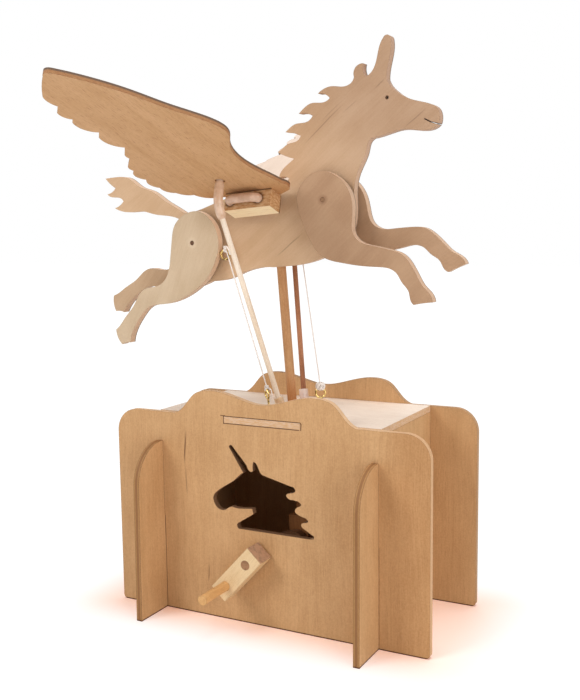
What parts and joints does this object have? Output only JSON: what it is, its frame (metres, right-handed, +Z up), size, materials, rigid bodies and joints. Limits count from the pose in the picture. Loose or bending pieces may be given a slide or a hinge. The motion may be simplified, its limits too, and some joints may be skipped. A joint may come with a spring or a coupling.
{
  "type": "crank automaton",
  "caption": "Slot-together plywood box with a hand crank that lifts a flat winged horse figure on a rod, flaps its wings with push rods and swings its legs with cords.",
  "frame": {"origin": "middle of the box's footprint, on the surface it stands on", "axes": "+X along the box towards the figure's head, -Y towards the crank, +Z up"},
  "size_m": [0.2765, 0.3565, 0.3795],
  "materials": {
    "box_plywood": "bare laser-cut birch plywood, burnt edges",
    "block_wood": "bare sawn basswood",
    "dowel_wood": "bare round dowel",
    "figure_wood": "bare pale basswood, slanting grain",
    "wing_wood": "bare thin plywood, dark cut edges",
    "soft_tube": "translucent whitish silicone",
    "brass": "bright drawn wire",
    "cord": "white twisted cord"
  },
  "bodies": {
    "box": {"front_panel": "box_plywood", "back_panel": "box_plywood", "left_side_panel": "box_plywood", "right_side_panel": "box_plywood", "top_panel": "box_plywood", "rear_lid_eye": "brass", "front_lid_eye": "brass", "near_rod_peg": "dowel_wood", "far_rod_peg": "dowel_wood"},
    "crank": {"crank_arm": "block_wood", "crank_handle": "dowel_wood", "front_crankshaft": "dowel_wood", "rear_crankshaft": "dowel_wood", "front_crank_web": "block_wood", "rear_crank_web": "block_wood", "front_crank_pin": "dowel_wood", "rear_crank_pin": "dowel_wood", "front_shaft_collar": "dowel_wood", "rear_shaft_collar": "dowel_wood"},
    "figure": {"body_board": "figure_wood", "drive_rod": "dowel_wood", "rod_end_block": "block_wood", "hinge_tube_middles": "soft_tube", "front_leg_spacers": "dowel_wood", "rear_leg_spacers": "dowel_wood"},
    "near_wing_body": {"near_wing": "wing_wood", "near_hinge_block": "block_wood", "near_hinge_tube": "soft_tube", "near_rod_top_tube": "soft_tube"},
    "far_wing_body": {"far_wing": "wing_wood", "far_hinge_block": "block_wood", "far_hinge_tube": "soft_tube", "far_rod_top_tube": "soft_tube"},
    "near_rod_body": {"near_push_rod": "dowel_wood", "near_rod_top_sleeve": "soft_tube", "near_rod_foot_sleeve": "soft_tube"},
    "far_rod_body": {"far_push_rod": "dowel_wood", "far_rod_top_sleeve": "soft_tube", "far_rod_foot_sleeve": "soft_tube"},
    "front_legs": {"near_front_leg": "figure_wood", "far_front_leg": "figure_wood", "front_leg_axle": "dowel_wood", "front_leg_eye": "brass"},
    "rear_legs": {"near_rear_leg": "figure_wood", "far_rear_leg": "figure_wood", "rear_leg_axle": "dowel_wood", "rear_leg_eye": "brass"},
    "rear_cord_body": {"rear_cord": "cord"},
    "front_cord_body": {"front_cord": "cord"}
  },
  "joints": [
    {"name": "crank_turn", "type": "hinge", "parent": "box", "child": "crank", "pos_m": [-0.0044, 0, 0.046], "axis": [0, -1, 0], "continuous": true},
    {"name": "flight_lift", "type": "slide", "parent": "box", "child": "figure", "axis": [-0.0768, 0, 0.997], "range_m": [-0.01187, 0.00699]},
    {"name": "near_wing_flap", "type": "hinge", "parent": "figure", "child": "near_wing_body", "pos_m": [-0.01277, -0.00577, 0.27511], "axis": [0.997, 0, 0.0768], "range_deg": [-18.6, 10.95]},
    {"name": "far_wing_flap", "type": "hinge", "parent": "figure", "child": "far_wing_body", "pos_m": [-0.01277, 0.00577, 0.27511], "axis": [0.997, 0, 0.0768], "range_deg": [-11.2, 18.95]},
    {"name": "near_rod_swing", "type": "hinge", "parent": "near_wing_body", "child": "near_rod_body", "pos_m": [-0.03253, -0.04343, 0.27773], "axis": [0.997, 0, 0.0768], "range_deg": [-10.45, 17.65]},
    {"name": "far_rod_swing", "type": "hinge", "parent": "far_wing_body", "child": "far_rod_body", "pos_m": [-0.0251, 0.04317, 0.28027], "axis": [0.997, 0, 0.0768], "range_deg": [-17.75, 10.5]},
    {"name": "front_leg_swing", "type": "hinge", "parent": "figure", "child": "front_legs", "pos_m": [0.02786, 0, 0.27889], "axis": [0, 1, 0], "range_deg": [-11.95, 20.25]},
    {"name": "rear_leg_swing", "type": "hinge", "parent": "figure", "child": "rear_legs", "pos_m": [-0.07355, 0, 0.25173], "axis": [0, 1, 0], "range_deg": [-27.55, 16.25]},
    {"name": "rear_cord_sway", "type": "hinge", "parent": "box", "child": "rear_cord_body", "pos_m": [-0.0172, -0.0094, 0.1483], "axis": [0, 1, 0], "range_deg": [-1.4, 2.3]},
    {"name": "front_cord_sway", "type": "hinge", "parent": "box", "child": "front_cord_body", "pos_m": [0.0145, 0.0094, 0.1483], "axis": [0, 1, 0], "range_deg": [-3.2, 1.9]}
  ],
  "couplings": [
    {"joint": "near_wing_flap", "follows": "flight_lift", "rad_per_m": 27.206},
    {"joint": "far_wing_flap", "follows": "flight_lift", "rad_per_m": -27.75},
    {"joint": "near_rod_swing", "follows": "flight_lift", "rad_per_m": -25.855},
    {"joint": "far_rod_swing", "follows": "flight_lift", "rad_per_m": 25.985},
    {"joint": "front_leg_swing", "follows": "flight_lift", "rad_per_m": -29.641},
    {"joint": "rear_leg_swing", "follows": "flight_lift", "rad_per_m": 40.399},
    {"joint": "rear_cord_sway", "follows": "flight_lift", "rad_per_m": -3.249},
    {"joint": "front_cord_sway", "follows": "flight_lift", "rad_per_m": 4.5664}
  ]
}
